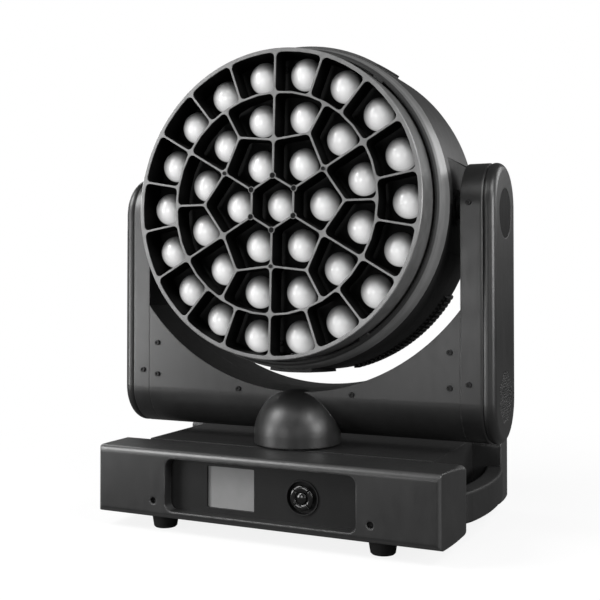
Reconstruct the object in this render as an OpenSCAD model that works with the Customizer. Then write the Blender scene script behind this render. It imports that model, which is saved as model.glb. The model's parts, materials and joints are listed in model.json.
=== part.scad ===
// Moving head light: a base, a yoke that pans on it and a round head that tilts in the yoke.
// Millimetres. The origin is on the floor under the pan axis, the front faces -Y and up is +Z.

/* [Head] */
// Height of the tilt axis above the floor
tilt_axis_z = 397.5; // [394:0.5:412]
// Distance from the tilt axis to the front of the grid
grid_front = 114; // [108:1:115]
// Lean of the head back from upright when stored
rest_tilt = 2.6; // [0:0.1:6]
// Outer radius of the front grid
grid_r = 190; // [188:0.5:191]
// Width of the grid's outer rim
grid_rim = 5; // [3:0.5:6]
// Depth of the honeycomb walls
grid_depth = 28; // [20:1:29]
// Thickness of the honeycomb walls
grid_wall = 2.4; // [1.6:0.2:4]
// Fillet radius in the corners of the cells
cell_fillet = 6; // [2:0.5:8]
// Radius of the head's housing at its widest
head_r = 206.5; // [205:0.5:207]
// Height of the raised pads and the vent ribs above the housing
pad_rise = 3.5; // [2:0.5:4]
// Half angle of the raised pad on top of the head
pad_half = 32; // [20:1:40]
// Angle between the vent ribs
rib_step = 1.7; // [1.6:0.1:2.4]
// Wall of the plastic housings and covers
wall = 3; // [2:0.5:3.5]
// Half height of the flat side recess that clears the arm
side_half = 57; // [54:1:62]
// Distance from the centre to the outside of the head's side plates
side_x = 197; // [190:1:199]

/* [Optics] */
// Radius of one lens
lens_r = 20; // [15:0.5:20]
// Height of a lens dome
lens_rise = 14; // [8:0.5:16]
// Radius of the inner ring of lenses
ring1_r = 57.5; // [54:0.5:60]
// Radius of the middle ring of lenses
ring2_r = 111; // [108:0.5:112]
// Radius of the outer ring of lenses
ring3_r = 164; // [160:0.5:164]
// Travel of the zoom carriage
zoom_travel = 20; // [10:1:22]
// Thickness of the lens carrier plate
carrier_t = 3; // [2:0.5:4]
// Radius of a zoom lead screw
zoom_screw_r = 3; // [2.5:0.25:4]

/* [Yoke] */
// Half depth of the yoke and radius of its round ends
arm_r = 53; // [52:0.5:56]
// Height of the yoke's underside
yoke_bottom = 112; // [110:1:114]
// Gap between a side plate of the head and an arm
arm_clear = 19; // [16:0.5:21]
// Width of an arm with its outer cap
arm_w = 41; // [40:0.5:46]
// Width of an arm's outer cap
cap_w = 14; // [12:0.5:16]
// Radius of the concave top of the crossbar
cradle_r = 272.5; // [270:0.5:276]
// Height of the lowest point of the concave top
cradle_z = 168; // [164:0.5:169]
// Radius of the fairing over the pan motor
fairing_r = 55; // [50:0.5:58]
// Distance of the fairing's centre in front of the pan axis
fairing_y = 41; // [38:0.5:46]
// Radius of the round badge recess
badge_r = 30; // [20:1:34]
// How far the badge sits below the tilt axis
badge_drop = 8; // [0:0.5:10]
// Radius of the round perforated vent
vent_r = 32; // [20:1:34]
// How far the vent sits above the centre of the arm's lower end
vent_lift = 4.5; // [0:0.5:10]
// Thickness of the steel frame plates
frame_t = 3; // [2:0.5:4]

/* [Base] */
// Half width of the base at its widest
base_half_w = 231; // [226:1:240]
// Half width of the front and rear faces
face_half_w = 223; // [210:1:225]
// Half depth of the base
base_half_d = 156; // [150:1:164]
// Half depth of the gap for the hands between the end blocks
gap_half_d = 84; // [78:1:90]
// Half width of the chassis between the hand gaps
chassis_half_w = 193; // [185:1:197]
// Height of the base's top face
base_top = 101; // [98:1:102]
// Height of the rubber feet
foot_h = 18; // [14:1:22]
// Largest radius of a foot
foot_r = 17; // [13:1:20]
// Half distance between the feet across the base
foot_x = 145; // [130:1:160]
// Distance of the feet from the pan axis, front to back
foot_y = 122; // [110:1:128]
// Width of the panel recess
recess_w = 250; // [230:1:300]
// Height of the panel recess
recess_h = 64; // [58:1:66]
// Depth of the panel recess
recess_d = 15; // [8:1:20]
// Corner radius of the panel recess
recess_corner = 10; // [4:1:14]
// Thickness of a side handle
handle_t = 16; // [12:1:20]
// Height of a side handle
handle_h = 44; // [30:1:48]
// How far a side handle bows out past its ends
handle_bow = 14; // [4:1:16]

/* [Controls] */
// Width of the display window
screen_w = 64; // [50:1:80]
// Height of the display window
screen_h = 50; // [36:1:54]
// Distance of the display's centre left of the middle
screen_x = 42; // [36:1:60]
// Distance of the keypad's centre right of the middle
keypad_x = 53; // [40:1:80]
// Outer radius of the keypad ring
keypad_r = 20.5; // [17:0.5:24]
// Travel of a key
key_travel = 1; // [0.6:0.1:1.4]

/* [Drives] */
// Radius of the fixed pan pulley
pan_pulley_r = 26; // [22:1:28]
// Radius of the pan motor's pulley
pan_pinion_r = 8; // [6:0.5:9]
// Distance from the pan axis to the pan motor
pan_motor_y = 50; // [50:0.5:54]
// Radius of the tilt pulley on the head
tilt_pulley_r = 34; // [28:1:38]
// Radius of the tilt motor's pulley
tilt_pinion_r = 8.5; // [6:0.5:12]
// Outer radius of the head's axle
axle_r = 14; // [10:0.5:16]
// Outer radius of the pan shaft
shaft_r = 17; // [14:0.5:18]
// Thickness of a drive belt
belt_t = 1.6; // [1:0.2:2]

/* [Fits] */
// Running clearance between a shaft and its bore, on the radius
running = 0.05; // [0.03:0.01:0.09]
// Gap between pieces that move past each other
gap = 0.3; // [0.2:0.1:0.5]

/* [Hidden] */
$fn = 48;

// Finishes
satin_black = "#2b2c2e";
soft_black = "#1c1d1f";
bare_metal = "#9a9da1";
board_green = "#20402c";
clear_lens = "#e8ebee";
key_grey = "#3b3d40";

// Yoke, from the centre out
arm_in = side_x + arm_clear;         // inner face of an arm
arm_out = arm_in + arm_w;
cap_seam = arm_out - cap_w;
cover_screw_x = arm_in - 13;

// Yoke, from the underside up
low_axis_z = yoke_bottom + arm_r;
cradle_axis_z = cradle_z + cradle_r;
cradle_top = cradle_axis_z - sqrt(pow(cradle_r, 2) - pow(arm_in, 2));

// Screws
screw_r = 1.6;
screw_head_r = 3.4;
screw_head_h = 2.2;
screw_len = 6;

// Head, measured forwards from the tilt axis
ring_lip = grid_front - 37;          // front edge of the housing's ring
ring_back = ring_lip - 25;           // seam between the ring and the covers
shelf_top = ring_lip - 11;           // shelf that the grid stands on
shelf_t = 6;
grid_back = grid_front - grid_depth; // back of the honeycomb walls
lens_apex = grid_front - 16;
carrier_front = lens_apex - lens_rise - 2;
carrier_r = grid_r - grid_rim - 3;
sink_front = 18;
sink_base_t = 8;
board_t = 2;
fin_back = -42;
fan_depth = 25;
fan_half = 46;
fan_x = 60;
cover_back = -104;
recess_back = -60;                   // rear wall of the side recesses
recess_front = ring_back - 12;       // front wall of the side recesses
ring_out = grid_r + 13.5;            // outside of the housing's ring at the seam
rib_back = -74;
rib_front = -26;
rib_t = 2.6;
rear_hole_r = 150;
zoom_axis_y = 170;
zoom_motor_r = 13;
zoom_motor_top = carrier_front - carrier_t - zoom_travel - 7;
ring_r = grid_r + 3;                 // inside of the housing's ring
chip_h = 1.5;

// Lens places as [radius, count, first angle]
lens_rings = [[0, 1, 0], [ring1_r, 6, 0], [ring2_r, 12, 15], [ring3_r, 18, 0]];

// Cell outlines: hexagon corner, inner and outer corners between rings 1 and 2, circle between 2 and 3
hex_r = 0.565 * ring1_r;
inner_corner_r = 1.34 * ring1_r;
outer_corner_r = 0.855 * ring2_r;
ring23_r = (ring2_r + ring3_r) / 2 - 2;
cell_limit_r = grid_r - grid_rim;

// Base, from the floor up
block_h = base_top - foot_h;
block_mid_z = foot_h + block_h / 2;
block_edge = 8;
plate_t = 2.5;
panel_y = base_half_d - recess_d;    // front of the control panel, measured from the pan axis
panel_t = 3;
screen_z = block_mid_z;
keypad_z = block_mid_z - 2;
key_proud = key_travel + 1;
key_depth = 6;
keypad_wall = 1.5;
centre_key_r = 7;
shaft_flange_r = 38;
shaft_flange_t = 4;
handle_z = foot_h + 7;
face_screw_x = 142;
face_screw_z = foot_h + 21;

// Pan hub, from the base's top up
shaft_bore = 13;
shaft_top = 146;
hub_r = 30;                          // outside of the bearing housing
bearing_r = hub_r - frame_t;         // outside of the pan bearing
hub_bottom = base_top + 6;
deck_z = 128;                        // underside of the frame's crossbar plate
deck_half_d = 30;
deck_top = deck_z + frame_t;
pan_belt_z = deck_top + 3;
pan_belt_h = 8;
pan_motor_size = 35;

// Arm drive, measured outwards from the centre
frame_x = 221;
arm_plate_r = 44;
bearing_in = arm_in + wall + gap;
bearing_out = frame_x + frame_t + 2;
boss_r = 2 * axle_r;                 // outside of the bearing boss
belt_in = bearing_out + 3;
belt_w = 8;
axle_end = belt_in + belt_w + 6;
tilt_motor_size = 56;
tilt_motor_len = 50;

// ---------------------------------------------------------------- shared shapes

// Square with rounded corners, centred
module rounded_rect(w, h, r) {
    square([w - 2 * r, h], center = true);
    square([w, h - 2 * r], center = true);
    for (x = [-1, 1], y = [-1, 1])
        translate([x * (w / 2 - r), y * (h / 2 - r)]) circle(r);
}

// Places children on the head: x stays across, y is up and z points out of the front
module on_head() {
    translate([0, 0, tilt_axis_z]) rotate([90 - rest_tilt, 0, 0]) children();
}

// Draws children, given as [distance from the axis, distance from the centre], round an arm's outline
module round_arm() {
    for (z = [low_axis_z, tilt_axis_z])
        translate([0, 0, z]) rotate([0, 90, 0]) rotate_extrude() children();
    translate([0, 0, low_axis_z]) linear_extrude(tilt_axis_z - low_axis_z)
        for (m = [0, 1]) mirror([0, m]) mirror([1, -1]) children();
}

// Solid with an arm's outline, from x0 to x1, drawn in by e
module arm_slab(x0, x1, e) {
    round_arm() translate([0, x0]) square([arm_r - e, x1 - x0]);
}

module left_and_right() {
    for (m = [0, 1]) mirror([m, 0, 0]) children();
}

// Turns a shape that is drawn upwards so that it points out of the front at height z
module out_of_front(x, y, z) {
    translate([x, -y, z]) rotate([90, 0, 0]) children();
}

// Pan head screw whose head stands on z = 0
module screw(depth = screw_len) {
    translate([0, 0, -depth]) cylinder(r = screw_r, h = depth);
    difference() {
        cylinder(r = screw_head_r, h = screw_head_h);
        translate([0, 0, screw_head_h - 1]) cylinder(r = screw_r, h = 2, $fn = 6);
    }
}

// Clearance hole for a screw, with its head's counterbore above z = 0
module screw_hole(depth = screw_len, head_clear = 8) {
    translate([0, 0, -depth - 1]) cylinder(r = screw_r + 0.2, h = depth + 2);
    cylinder(r = screw_head_r + 0.8, h = head_clear);
}

// ---------------------------------------------------------------- base

// Outline of an end block seen from above, drawn in by e
module block_plan(e) {
    edge = 5;
    hull() {
        for (x = [-1, 1]) translate([x * (face_half_w - edge - e), -base_half_d + edge + e])
            circle(edge, $fn = 32);
        translate([-base_half_w + e, -gap_half_d - 1]) square([2 * (base_half_w - e), 1]);
    }
}

// End block of the base at the front, drawn in by e
module end_block(e) {
    intersection() {
        translate([0, 0, foot_h]) linear_extrude(block_h) block_plan(e);
        translate([0, 0, block_mid_z]) rotate([90, 0, 0]) linear_extrude(base_half_d + 1)
            rounded_rect(2 * (base_half_w - e), block_h - 2 * e, block_edge);
        translate([0, -(base_half_d + gap_half_d) / 2, block_mid_z]) rotate([90, 0, 90])
            linear_extrude(2 * base_half_w, center = true)
                rounded_rect(base_half_d - gap_half_d - 2 * e, block_h - 2 * e, block_edge);
    }
}

module face_screw_places() {
    for (x = [-1, 1]) out_of_front(x * face_screw_x, base_half_d - 6, face_screw_z) children();
}

// Moulded cover with a tub for a panel; the same tool makes the front and the rear one
module end_cover() {
    tub_d = recess_d + 1;
    difference() {
        union() {
            difference() {
                end_block(0);
                end_block(wall);
                // opening towards the chassis
                translate([0, -gap_half_d, block_mid_z])
                    cube([2 * (chassis_half_w - 6), 4 * wall, block_h - 12], center = true);
            }
            out_of_front(0, panel_y, block_mid_z) linear_extrude(recess_d - 1)
                rounded_rect(recess_w + 2 * wall, recess_h + 2 * wall, recess_corner + wall);
            intersection() {
                end_block(0);
                face_screw_places() translate([0, 0, -3]) cylinder(r = 7, h = 8);
            }
        }
        out_of_front(0, panel_y - 1, block_mid_z) linear_extrude(tub_d + 2)
            rounded_rect(recess_w, recess_h, recess_corner);
        face_screw_places() screw_hole(4);
    }
}

module base_front_cover() {
    color(satin_black) end_cover();
}

module base_rear_cover() {
    color(satin_black) rotate([0, 0, 180]) end_cover();
}

// Folded steel box between the end blocks, open below
module base_chassis() {
    inner = chassis_half_w - plate_t;
    color(soft_black) difference() {
        translate([-chassis_half_w, -gap_half_d, foot_h + plate_t])
            cube([2 * chassis_half_w, 2 * gap_half_d, block_h - plate_t]);
        translate([-inner, -gap_half_d + plate_t, foot_h])
            cube([2 * inner, 2 * (gap_half_d - plate_t), block_h - plate_t]);
        // way through to the end blocks
        translate([0, 0, block_mid_z])
            cube([2 * (chassis_half_w - 12), 3 * gap_half_d, block_h - 24], center = true);
        translate([0, 0, base_top - 2 * plate_t]) cylinder(r = shaft_bore, h = 3 * plate_t);
    }
}

bracket_x = 120;
bracket_y = 53;
bracket_hole_r = 5.5;

// Floor of the chassis, with the sockets of the hanging brackets
module base_bottom_plate() {
    color(soft_black) difference() {
        translate([-chassis_half_w, -gap_half_d, foot_h])
            cube([2 * chassis_half_w, 2 * gap_half_d, plate_t]);
        for (x = [-1, 1], y = [-1, 1])
            translate([x * bracket_x, y * bracket_y, foot_h - 1])
                cylinder(r = bracket_hole_r, h = plate_t + 2);
    }
}

// Bowed grip between the end blocks
module side_handle() {
    bow_r = (pow(gap_half_d, 2) + pow(handle_bow, 2)) / (2 * handle_bow);
    outer_x = base_half_w + 3;
    color(satin_black) intersection() {
        translate([outer_x - bow_r, 0, handle_z + handle_h / 2])
            rotate([0, 0, -60]) rotate_extrude(angle = 120, $fn = 96)
                translate([bow_r - handle_t / 2, 0]) rounded_rect(handle_t, handle_h, 6);
        translate([0, -gap_half_d, 0]) cube([2 * base_half_w, 2 * gap_half_d, base_top]);
    }
}

module left_handle() { mirror([1, 0, 0]) side_handle(); }
module right_handle() { side_handle(); }

module rubber_feet() {
    color("#151515") for (x = [-1, 1], y = [-1, 1]) translate([x * foot_x, y * foot_y, 0])
        rotate_extrude() polygon([
            [0, 0], [foot_r - 4, 0], [foot_r - 2.5, 1.5], [foot_r, foot_h - 2], [foot_r, foot_h],
            [0, foot_h]
        ]);
}

module base_screws() {
    color("#101010") for (a = [0, 180]) rotate([0, 0, a]) face_screw_places() screw(4);
}

// Panel that closes a tub from behind
module tub_panel() {
    out_of_front(0, panel_y - panel_t, block_mid_z) linear_extrude(panel_t)
        rounded_rect(recess_w + 2 * wall, recess_h + 2 * wall, recess_corner + wall);
}

module control_panel() {
    color("#242528") difference() {
        tub_panel();
        out_of_front(-screen_x, panel_y - panel_t - 1, screen_z) linear_extrude(panel_t + 2)
            rounded_rect(screen_w, screen_h, 1.5);
        out_of_front(keypad_x, panel_y - panel_t - 1, keypad_z)
            cylinder(r = keypad_r + running, h = panel_t + 2);
    }
}

module display_screen() {
    color("#a9adb1") out_of_front(-screen_x, panel_y - panel_t - 4, screen_z) linear_extrude(4)
        rounded_rect(screen_w + 6, screen_h + 6, 2);
}

// Bezel of the keypad, with the cross that keeps the keys apart
module keypad_ring() {
    back = 4;
    color(soft_black) out_of_front(keypad_x, panel_y - panel_t - back, keypad_z) difference() {
        cylinder(r = keypad_r, h = back + panel_t + 1.5);
        translate([0, 0, 1]) cylinder(r = keypad_r - keypad_wall, h = back + panel_t + 2);
    }
}

// One of the four arc keys, turned by a
module arc_key(a) {
    inner_r = centre_key_r + gap + 0.6;
    outer_r = keypad_r - keypad_wall - gap;
    slot = 0.8;
    color(key_grey) out_of_front(keypad_x, panel_y + key_proud - key_depth, keypad_z)
        linear_extrude(key_depth) rotate(a) intersection() {
            difference() {
                circle(outer_r);
                circle(inner_r);
            }
            translate([slot * sqrt(2), 0]) rotate(-45) square(2 * keypad_r);
        }
}

module key_right() { arc_key(0); }
module key_up() { arc_key(90); }
module key_left() { arc_key(180); }
module key_down() { arc_key(270); }

module key_enter() {
    dome_h = 1.6;
    dome_r = (pow(centre_key_r, 2) + pow(dome_h, 2)) / (2 * dome_h);
    color(key_grey) out_of_front(keypad_x, panel_y + key_proud - key_depth, keypad_z) {
        cylinder(r = centre_key_r, h = key_depth);
        intersection() {
            translate([0, 0, key_depth + dome_h - dome_r]) sphere(dome_r);
            translate([0, 0, key_depth - 1]) cylinder(r = centre_key_r, h = dome_h + 2);
        }
    }
}

// Sockets along the rear panel, by their distance from the middle
power_x = [-100, -62];
data_x = [-22, 8, 38, 68];
power_r = 14;
data_r = 11.5;
network_x = 98;
network_w = 16;
network_h = 14;

module connector_panel() {
    color("#242528") rotate([0, 0, 180]) difference() {
        tub_panel();
        for (x = power_x) out_of_front(x, panel_y - panel_t - 1, block_mid_z)
            cylinder(r = power_r, h = panel_t + 2);
        for (x = data_x) out_of_front(x, panel_y - panel_t - 1, block_mid_z)
            cylinder(r = data_r, h = panel_t + 2);
        out_of_front(network_x, panel_y - panel_t - 1, block_mid_z) linear_extrude(panel_t + 2)
            square([network_w, network_h], center = true);
    }
}

// Round chassis socket with a flange on the panel and pins inside
module round_socket(r, pins) {
    body = 18;
    lip = 2;
    difference() {
        union() {
            translate([0, 0, -body]) cylinder(r = r - running, h = body);
            linear_extrude(lip) rounded_rect(2 * r + 5, 2 * r + 5, 3);
        }
        translate([0, 0, -body + 4]) cylinder(r = r - 3, h = body);
    }
    for (k = [0:pins - 1]) rotate(k * 360 / pins + 90) translate([r / 2.4, 0, -body + 3])
        cylinder(r = 1.2, h = body - 6);
}

module panel_sockets() {
    color("#18191b") rotate([0, 0, 180]) {
        for (x = power_x) out_of_front(x, panel_y, block_mid_z) round_socket(power_r, 3);
        for (k = [0:3]) out_of_front(data_x[k], panel_y, block_mid_z)
            round_socket(data_r, k < 2 ? 3 : 5);
        out_of_front(network_x, panel_y - 15, block_mid_z) linear_extrude(17) difference() {
            square([network_w - 0.2, network_h - 0.2], center = true);
            square([network_w - 4, network_h - 5], center = true);
        }
    }
}

module power_supply() {
    color(bare_metal) difference() {
        translate([-170, -60, foot_h + plate_t]) cube([120, 120, 40]);
        for (k = [0:7]) translate([-162 + 14 * k, -50, foot_h + plate_t + 36]) cube([7, 100, 6]);
    }
}

module control_board() {
    stand = 10;
    z0 = foot_h + plate_t;
    color(board_green) {
        translate([50, -55, z0 + stand]) cube([110, 110, 1.6]);
        for (x = [58, 152], y = [-47, 47]) translate([x, y, z0]) cylinder(r = 3, h = stand);
        translate([70, -30, z0 + stand + 1.6]) cube([24, 24, 3]);
        translate([115, -40, z0 + stand + 1.6]) cube([30, 12, 12]);
    }
}

// Hollow shaft that stands on the base and carries the yoke
module pan_shaft() {
    color(bare_metal) difference() {
        union() {
            translate([0, 0, base_top]) cylinder(r = shaft_flange_r, h = shaft_flange_t);
            translate([0, 0, base_top]) cylinder(r = shaft_r, h = shaft_top - base_top);
        }
        translate([0, 0, base_top - 1]) cylinder(r = shaft_bore, h = shaft_top);
    }
}

// Pulley with two flanges and a bore, standing on z = 0
module pulley(r, bore_r, width) {
    rim = 1.2;
    difference() {
        union() {
            cylinder(r = r, h = width);
            for (z = [-rim - gap, width + gap]) translate([0, 0, z]) cylinder(r = r + 1.5, h = rim);
            translate([0, 0, -rim]) cylinder(r = r - 1, h = width + 2 * rim);
        }
        translate([0, 0, -3 * rim]) cylinder(r = bore_r, h = width + 6 * rim);
    }
}

module pan_pulley() {
    color(bare_metal) translate([0, 0, pan_belt_z])
        pulley(pan_pulley_r, shaft_r + running, pan_belt_h);
}

// ---------------------------------------------------------------- yoke

// Crossbar below the head, drawn in by e, out to x1 on both sides
module crossbar(e, x1) {
    intersection() {
        translate([-x1, 0, 0]) arm_slab(0, 2 * x1, e);
        rotate([90, 0, 0]) linear_extrude(4 * arm_r, center = true) difference() {
            translate([-x1, 0]) square([2 * x1, cradle_top - e]);
            translate([0, cradle_axis_z]) circle(cradle_r + e, $fn = 96);
        }
    }
}

fairing_z = 116;

// Domed fairing over the pan motor, drawn in by e
module fairing(e) {
    bottom = base_top + 2 - (e > 0 ? 2 : 0);
    translate([0, -fairing_y, 0]) intersection() {
        union() {
            translate([0, 0, bottom]) cylinder(r = fairing_r - e, h = fairing_z - bottom);
            translate([0, 0, fairing_z]) sphere(fairing_r - e, $fn = 64);
        }
        translate([0, 0, bottom]) cylinder(r = fairing_r, h = 2 * fairing_r);
    }
}

module front_cover_screws() {
    for (s = [-1, 1]) {
        for (z = [17, 59]) out_of_front(s * cover_screw_x, arm_r, low_axis_z + z) children();
        out_of_front(s * 79, arm_r, cradle_z) children();
    }
}

module hub_hole() {
    translate([0, 0, base_top]) cylinder(r = hub_r + 1, h = cradle_z - base_top - wall - 8);
    translate([0, 0, base_top]) cylinder(r = shaft_flange_r + 1, h = shaft_flange_t + 1);
}

module yoke_front_cover() {
    color(satin_black) difference() {
        union() {
            intersection() {
                crossbar(0, arm_in);
                translate([-arm_in, -2 * arm_r, 0]) cube([2 * arm_in, 2 * arm_r, cradle_top]);
            }
            intersection() {
                fairing(0);
                translate([-arm_in, -4 * arm_r, 0]) cube([2 * arm_in, 4 * arm_r, cradle_top]);
            }
        }
        crossbar(wall, arm_in + 1);
        fairing(wall);
        hub_hole();
        front_cover_screws() screw_hole(screw_len, 1);
    }
}

module yoke_rear_cover() {
    color(satin_black) difference() {
        intersection() {
            crossbar(0, arm_in);
            translate([-arm_in, 0, 0]) cube([2 * arm_in, 2 * arm_r, cradle_top]);
        }
        crossbar(wall, arm_in + 1);
        hub_hole();
        rotate([0, 0, 180]) front_cover_screws() screw_hole(screw_len, 1);
    }
}

module arm_screws() {
    for (z = [low_axis_z + 22, tilt_axis_z + 2.5]) out_of_front(arm_in + 10, arm_r, z) children();
}

// Arm housing between the head and the outer cap
module arm_shell() {
    edge = 3;
    color(satin_black) difference() {
        round_arm() {
            translate([0, arm_in]) square([arm_r, cap_seam - arm_in - edge]);
            translate([0, arm_in]) square([arm_r - edge, cap_seam - arm_in]);
            translate([arm_r - edge, cap_seam - edge]) circle(edge);
        }
        arm_slab(arm_in + wall, cap_seam + 1, wall + edge);
        // bore for the bearing boss, and the way down into the crossbar
        translate([arm_in - 1, 0, tilt_axis_z]) rotate([0, 90, 0])
            cylinder(r = boss_r + gap, h = wall + 2);
        intersection() {
            crossbar(wall, arm_in + wall + 1);
            translate([arm_in - 1, -arm_r, 0]) cube([wall + 3, 2 * arm_r, cradle_top]);
        }
        arm_screws() screw_hole(screw_len, 1);
        mirror([0, 1, 0]) arm_screws() screw_hole(screw_len, 1);
    }
}

module right_arm_shell() { arm_shell(); }
module left_arm_shell() { mirror([1, 0, 0]) arm_shell(); }

// Profile of the outer cap: a small inner edge and a large outer one, drawn in by e
module cap_profile(e) {
    inner_edge = 4;
    outer_edge = 9;
    r = arm_r - e;
    x1 = arm_out - e;
    x0 = cap_seam;
    square([r - outer_edge, x1], center = false);
    translate([0, x0 + inner_edge]) square([r, x1 - outer_edge - x0 - inner_edge]);
    translate([r - outer_edge, x1 - outer_edge]) circle(outer_edge);
    translate([0, x0]) square([r - inner_edge, inner_edge]);
    translate([r - inner_edge, x0 + inner_edge]) circle(inner_edge);
}

// Diamond holes of the vent, within a circle
module vent_holes() {
    pitch = 6.4;
    rows = floor(vent_r / pitch * 2);
    translate([0, 0, low_axis_z + vent_lift]) rotate([0, 90, 0])
        for (i = [-rows:rows], j = [-rows:rows])
            if ((i + j) % 2 == 0 && norm([i, j]) * pitch / 2 < vent_r - 1)
                translate([i * pitch / 2, j * pitch / 2, arm_out - 2 * wall])
                    cylinder(r = 2.1, h = 3 * wall, $fn = 4);
}

// Pillow shaped outer cap with the badge recess and the vent
module arm_cap() {
    color(satin_black) difference() {
        intersection() {
            round_arm() cap_profile(0);
            translate([cap_seam, -2 * arm_r, 0]) cube([2 * cap_w, 4 * arm_r, 2 * tilt_axis_z]);
        }
        arm_slab(0, arm_out - wall, wall + 7);
        translate([arm_out - 1.5, 0, tilt_axis_z - badge_drop]) rotate([0, 90, 0])
            cylinder(r = badge_r, h = 4);
        vent_holes();
    }
}

module right_arm_cap() { arm_cap(); }
module left_arm_cap() { mirror([1, 0, 0]) arm_cap(); }

// Blank glossy discs
module arm_badges() {
    color("#0b0b0c") left_and_right() translate([arm_out - 1.5, 0, tilt_axis_z - badge_drop])
        rotate([0, 90, 0]) cylinder(r = badge_r - gap, h = 1.2);
}

module yoke_screws() {
    color("#101010") {
        for (a = [0, 180]) rotate([0, 0, a]) front_cover_screws() screw();
        left_and_right() for (m = [0, 1]) mirror([0, m, 0]) arm_screws() screw();
    }
}

// Steel frame: a deck with the bearing housing, two arm plates and the pan motor's tongue
module yoke_frame() {
    lip = 2;
    color(bare_metal) difference() {
        union() {
            left_and_right() {
                arm_slab(frame_x, frame_x + frame_t, arm_r - arm_plate_r);
                translate([bearing_in, 0, tilt_axis_z]) rotate([0, 90, 0])
                    cylinder(r = boss_r, h = bearing_out - bearing_in);
            }
            translate([-frame_x, -deck_half_d, deck_z]) cube([2 * frame_x, 2 * deck_half_d, frame_t]);
            translate([-pan_motor_size / 2, -pan_motor_y - pan_motor_size / 2, deck_z])
                cube([pan_motor_size, pan_motor_y, frame_t]);
            translate([0, 0, hub_bottom]) cylinder(r = hub_r, h = deck_top - hub_bottom);
        }
        translate([0, 0, hub_bottom + lip]) cylinder(r = bearing_r + running, h = deck_top);
        translate([0, 0, base_top]) cylinder(r = shaft_r + 2, h = deck_top);
        translate([0, -pan_motor_y, deck_z - 1]) cylinder(r = pan_pinion_r, h = frame_t + 2);
        left_and_right() {
            translate([bearing_in - 1, 0, tilt_axis_z]) rotate([0, 90, 0])
                cylinder(r = boss_r - 4 + running, h = 2 * frame_x);
            translate([frame_x - 1, 0, low_axis_z]) rotate([0, 90, 0])
                cylinder(r = tilt_pinion_r + 2, h = 3 * frame_t);
        }
    }
}

module pan_bearing() {
    color("#c6c9cc") translate([0, 0, hub_bottom + 2]) difference() {
        cylinder(r = bearing_r, h = deck_top - hub_bottom - 2);
        translate([0, 0, -1]) cylinder(r = shaft_r + running, h = deck_top);
    }
}

module tilt_bearings() {
    color("#c6c9cc") left_and_right() translate([bearing_in, 0, tilt_axis_z])
        rotate([0, 90, 0]) difference() {
            cylinder(r = boss_r - 4, h = bearing_out - bearing_in);
            translate([0, 0, -1]) cylinder(r = axle_r + running, h = 2 * boss_r);
        }
}

// Square stepping motor whose shaft end stands on z = 0
module motor(size, length, shaft, shaft_len) {
    translate([0, 0, -length]) linear_extrude(length) rounded_rect(size, size, size / 9);
    cylinder(r = shaft, h = shaft_len);
}

module pan_motor() {
    color(soft_black) translate([0, -pan_motor_y, deck_z])
        motor(pan_motor_size, 20, 2.5, pan_belt_z + pan_belt_h - deck_z);
}

module pan_pinion() {
    color(bare_metal) translate([0, -pan_motor_y, pan_belt_z])
        pulley(pan_pinion_r, 2.5 + running, pan_belt_h);
}

// Belt round two pulleys of radius r1 and r2 that stand a distance apart along y
module belt(r1, r2, distance, width) {
    linear_extrude(width) difference() {
        hull() {
            circle(r1 + gap + belt_t, $fn = 64);
            translate([0, distance]) circle(r2 + gap + belt_t, $fn = 64);
        }
        hull() {
            circle(r1 + gap, $fn = 64);
            translate([0, distance]) circle(r2 + gap, $fn = 64);
        }
    }
}

module pan_belt() {
    color("#202020") translate([0, 0, pan_belt_z])
        belt(pan_pulley_r, pan_pinion_r, -pan_motor_y, pan_belt_h);
}

module tilt_motor() {
    color(soft_black) translate([-frame_x, 0, low_axis_z]) rotate([0, -90, 0])
        motor(tilt_motor_size, tilt_motor_len, 4, belt_in + belt_w - frame_x);
}

module tilt_pinion() {
    color(bare_metal) translate([-belt_in, 0, low_axis_z]) rotate([0, -90, 0])
        pulley(tilt_pinion_r, 4 + running, belt_w);
}

module tilt_belt() {
    color("#202020") translate([-belt_in, 0, tilt_axis_z]) rotate([0, -90, 0]) rotate([0, 0, 90])
        belt(tilt_pulley_r, tilt_pinion_r, tilt_axis_z - low_axis_z, belt_w);
}

// ---------------------------------------------------------------- head

function polar(r, a) = [r * cos(a), r * sin(a)];

// Corners of one cell of a ring, before its walls are taken off
function cell_points(ring, a) =
    ring == 0 ? [for (k = [0:5]) polar(hex_r, 30 + 60 * k)] :
    ring == 1 ? [
        polar(hex_r, a - 30), polar(inner_corner_r, a - 30), polar(outer_corner_r, a),
        polar(inner_corner_r, a + 30), polar(hex_r, a + 30)
    ] :
    ring == 2 ? concat(
        [for (t = [-15:10:15]) polar(ring23_r, a + t)],
        [for (s = [1, -1]) polar((a + 15 * s) % 60 == 0 ? outer_corner_r : inner_corner_r, a + 15 * s)]
    ) :
    concat(
        [for (t = [-10:5:10]) polar(cell_limit_r + grid_wall / 2, a + t)],
        [for (t = [10:-10:-10]) polar(ring23_r, a + t)]
    );

module cells() {
    for (ring = [0:3])
        for (k = [0:lens_rings[ring][1] - 1])
            offset(r = cell_fillet, $fn = 20) offset(delta = -cell_fillet - grid_wall / 2)
                polygon(cell_points(ring, lens_rings[ring][2] + 360 / lens_rings[ring][1] * k));
}

grid_screw_r = inner_corner_r;
grid_screw_angles = [30, 150, 270];
latch_angles = [51, 129, 236, 304];
latch_w = 14;

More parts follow.
